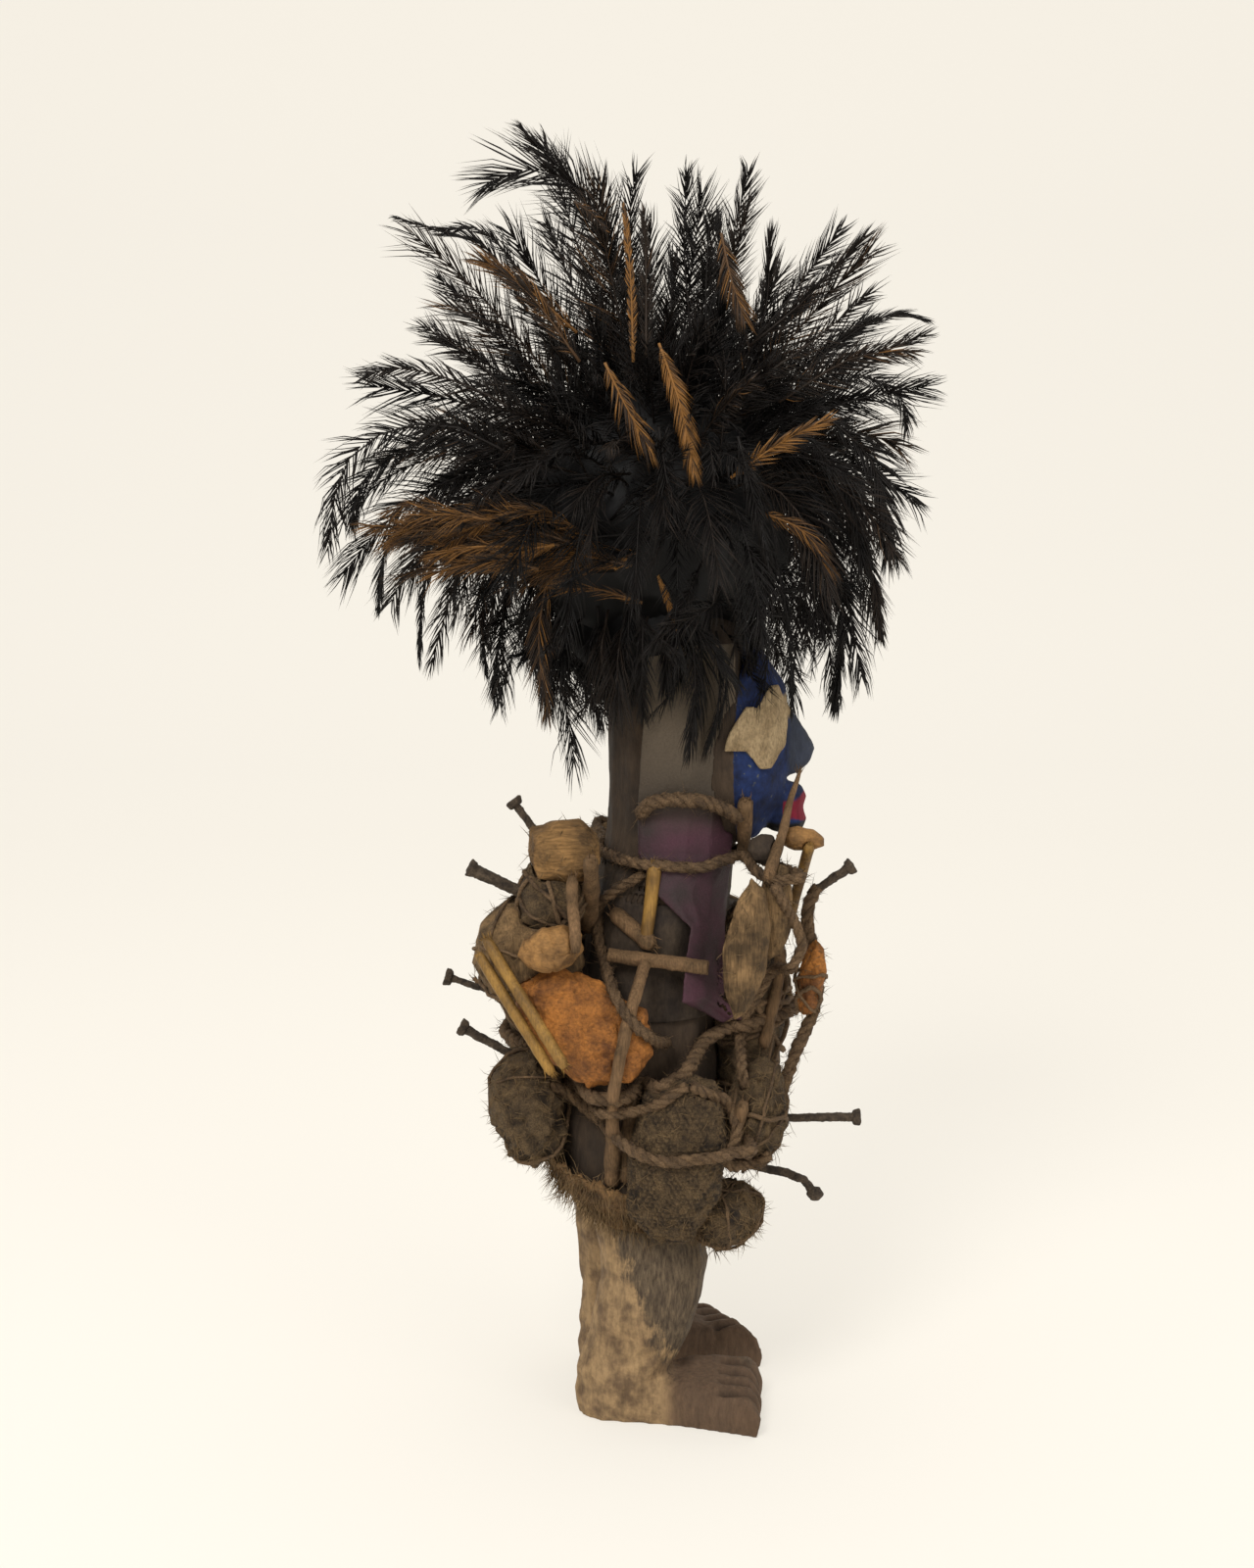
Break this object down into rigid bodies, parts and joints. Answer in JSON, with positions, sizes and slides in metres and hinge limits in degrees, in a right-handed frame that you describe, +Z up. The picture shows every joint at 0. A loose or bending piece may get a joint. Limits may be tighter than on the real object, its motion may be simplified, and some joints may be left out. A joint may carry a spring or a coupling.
{
  "type": "nkisi figure",
  "caption": "Standing carved power figure on bare feet, wrapped in hide, rope, packets, sticks and nails under a large feather headdress.",
  "frame": {"origin": "on the floor under the middle of the outer box", "axes": "+X the way the face looks, +Y to the figure's own left, +Z up"},
  "size_m": [0.4208, 0.3342, 0.8976],
  "materials": {
    "packed_fibre": "matte",
    "bark": "matte",
    "stick": "matte",
    "brown_fibre": "matte",
    "carved_wood": "matte",
    "rope": "matte",
    "dark_hide": "matte",
    "feather": "matte",
    "reed": "matte",
    "rusty_iron": "matte",
    "orange_skin": "matte",
    "pale_skin": "matte",
    "purple_hide": "matte",
    "seed_pod": "matte"
  },
  "bodies": {
    "root": {"back_bundle": "packed_fibre", "bark_block": "bark", "bark_dome": "bark", "bark_slab": "bark", "belly_packet": "packed_fibre", "belly_stick_brown": "stick", "belly_stick_dark": "stick", "bent_stick": "stick", "brown_plume_band": "brown_fibre", "carved_figure": "carved_wood", "chest_rope": "rope", "dark_knob": "dark_hide", "feather_headdress": "feather", "fibre_ball": "packed_fibre", "front_cross_rope": "rope", "front_low_bundle": "packed_fibre", "front_reed": "reed", "front_rope": "rope", "front_stick": "stick", "grey_stick": "stick", "hip_bundle": "packed_fibre", "hip_sling": "packed_fibre", "hollow_cane": "stick", "leaf_packet": "bark", "left_hip_bundle": "packed_fibre", "left_low_bundle": "packed_fibre", "left_shoulder_packet": "bark", "left_side_packet": "dark_hide", "long_reed_back": "reed", "long_reed_front": "reed", "low_front_rope": "rope", "middle_twine": "rope", "nail_bent": "rusty_iron", "nail_front": "rusty_iron", "nail_knot": "rusty_iron", "nail_low_back": "rusty_iron", "nail_thick_back": "rusty_iron", "nail_thin_back": "rusty_iron", "nail_upper_back": "rusty_iron", "neck_rope": "rope", "neck_stick": "stick", "orange_skin": "orange_skin", "pale_patch_left": "pale_skin", "pale_patch_right": "pale_skin", "pointed_stick": "stick", "purple_hide_strip": "purple_hide", "red_pod": "orange_skin", "seed_pod": "seed_pod", "short_stick": "stick", "shoulder_stick_brown": "stick", "shoulder_stick_dark": "stick", "shoulder_twine": "rope", "shoulder_wrap": "packed_fibre", "side_reed": "reed", "tan_pod": "seed_pod", "thorn_stick": "stick", "trunk_hide": "dark_hide", "waist_rope_lower": "rope", "waist_rope_upper": "rope", "woven_bundle": "packed_fibre"}
  },
  "joints": []
}
